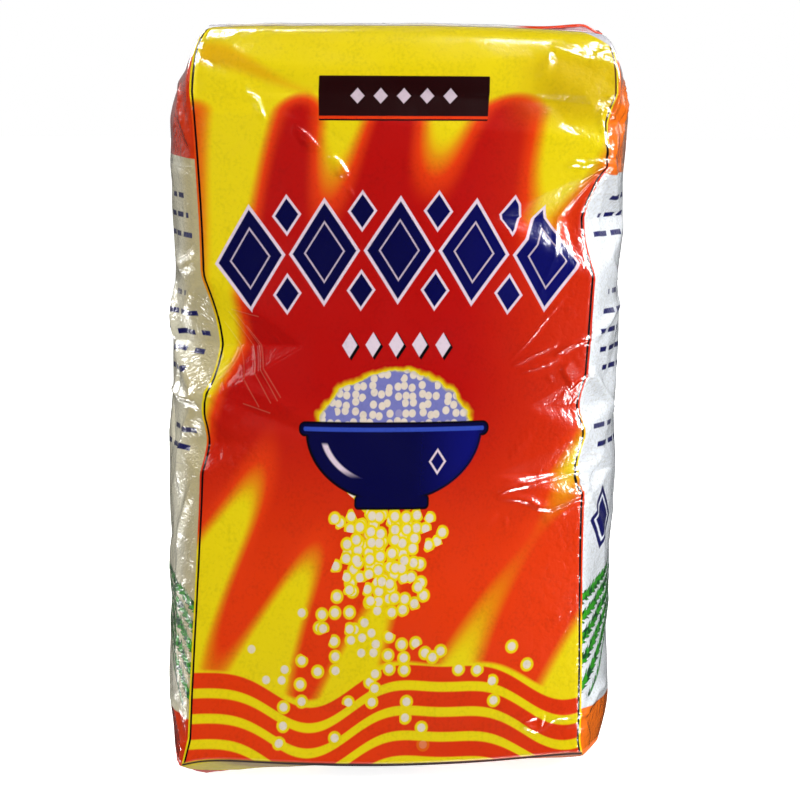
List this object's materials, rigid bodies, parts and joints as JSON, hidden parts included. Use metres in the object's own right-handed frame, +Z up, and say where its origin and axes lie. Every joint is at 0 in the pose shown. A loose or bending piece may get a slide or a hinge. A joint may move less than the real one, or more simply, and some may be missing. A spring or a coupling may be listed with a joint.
{
  "type": "bag of sugar",
  "caption": "Shut block-bottomed film bag of granulated sugar with side gussets, standing upright, its head folded flat under a seal fin and its upright edges dented.",
  "frame": {"origin": "middle of the foot, on the surface the bag stands on", "axes": "+Z up the bag's height, +X across its width, -Y out of its front"},
  "size_m": [0.1102, 0.0678, 0.1811],
  "materials": {
    "printed_film": "glossy printed packing film, yellow with orange and red fields on the front and back, milky white side gussets"
  },
  "bodies": {
    "root": {"sugar_bag": "printed_film"}
  },
  "joints": []
}
